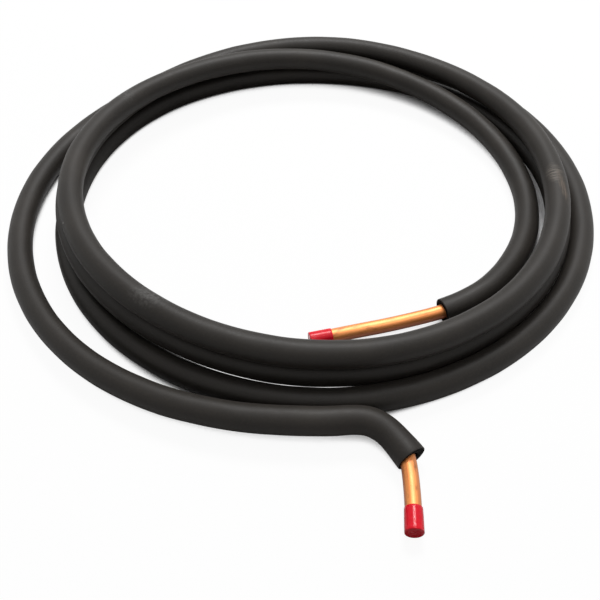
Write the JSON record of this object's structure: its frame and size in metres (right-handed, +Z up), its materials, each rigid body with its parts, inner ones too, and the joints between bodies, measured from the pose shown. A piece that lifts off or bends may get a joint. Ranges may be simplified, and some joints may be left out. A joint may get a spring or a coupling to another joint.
{
  "type": "insulated copper tube coil",
  "caption": "Loose flat coil of soft copper tube in a black foam sleeve, for refrigerant lines, with a push-on red cap on each bare end.",
  "frame": {"origin": "on the floor, in the middle of the coil's eye", "axes": "+Z up out of the eye, -Y to the front, where both tube ends are, +X to the right"},
  "size_m": [0.7288, 0.8335, 0.0889],
  "materials": {
    "copper": "bright drawn soft copper, faintly tarnished",
    "foam": "matt black closed-cell foam with a smooth skin",
    "cap": "glossy red soft vinyl"
  },
  "bodies": {
    "root": {"copper_tube": "copper", "foam_sleeve": "foam", "end_cap_outer": "cap", "end_cap_inner": "cap"}
  },
  "joints": []
}
